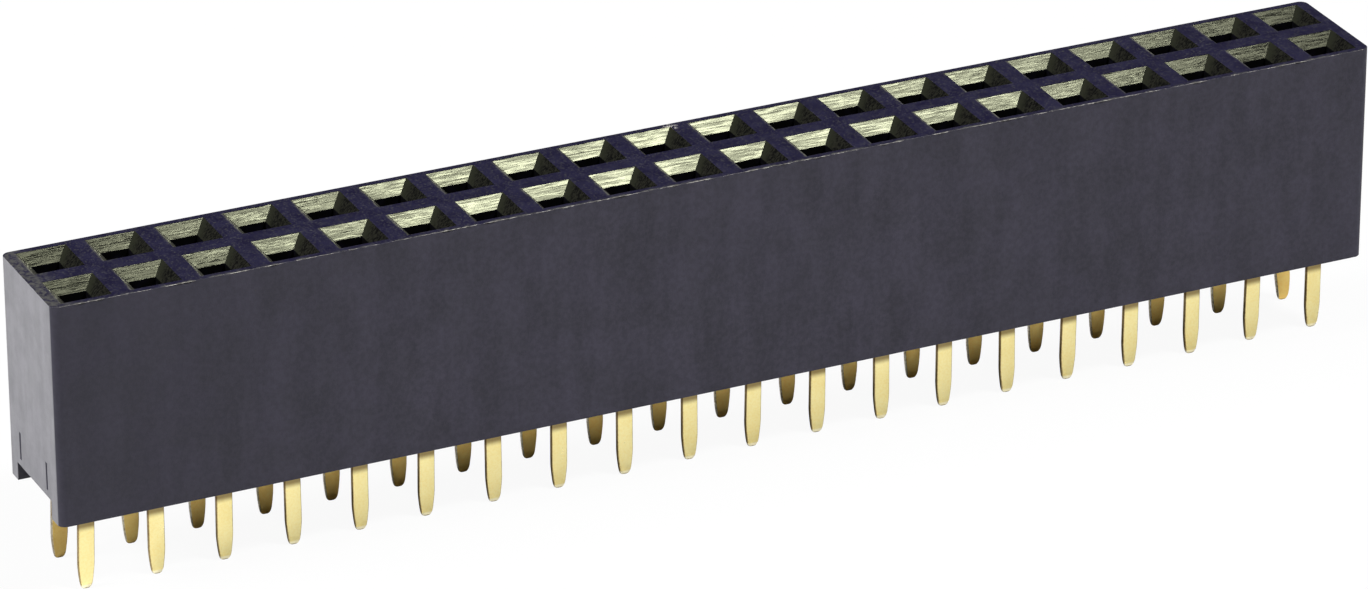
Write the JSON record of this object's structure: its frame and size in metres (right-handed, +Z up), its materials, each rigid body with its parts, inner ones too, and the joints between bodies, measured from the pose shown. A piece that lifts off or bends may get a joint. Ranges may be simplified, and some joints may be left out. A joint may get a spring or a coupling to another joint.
{
  "type": "female pin header strip",
  "caption": "Straight two-row female pin header: black moulded housing with square lead-ins and gold stamped spring contacts with flat solder tails.",
  "frame": {"origin": "under the middle of the strip, level with the tips of the solder tails", "axes": "+X along the strip, +Y towards the rear row, +Z up out of the sockets"},
  "size_m": [0.051, 0.0048, 0.0114],
  "materials": {
    "housing": "matte black moulded thermoplastic with a fine mould texture",
    "contact": "gold flash over a stamped copper alloy strip"
  },
  "bodies": {
    "root": {"housing": "housing", "contact_front_01": "contact", "contact_front_02": "contact", "contact_front_03": "contact", "contact_front_04": "contact", "contact_front_05": "contact", "contact_front_06": "contact", "contact_front_07": "contact", "contact_front_08": "contact", "contact_front_09": "contact", "contact_front_10": "contact", "contact_front_11": "contact", "contact_front_12": "contact", "contact_front_13": "contact", "contact_front_14": "contact", "contact_front_15": "contact", "contact_front_16": "contact", "contact_front_17": "contact", "contact_front_18": "contact", "contact_front_19": "contact", "contact_front_20": "contact", "contact_rear_01": "contact", "contact_rear_02": "contact", "contact_rear_03": "contact", "contact_rear_04": "contact", "contact_rear_05": "contact", "contact_rear_06": "contact", "contact_rear_07": "contact", "contact_rear_08": "contact", "contact_rear_09": "contact", "contact_rear_10": "contact", "contact_rear_11": "contact", "contact_rear_12": "contact", "contact_rear_13": "contact", "contact_rear_14": "contact", "contact_rear_15": "contact", "contact_rear_16": "contact", "contact_rear_17": "contact", "contact_rear_18": "contact", "contact_rear_19": "contact", "contact_rear_20": "contact"}
  },
  "joints": []
}
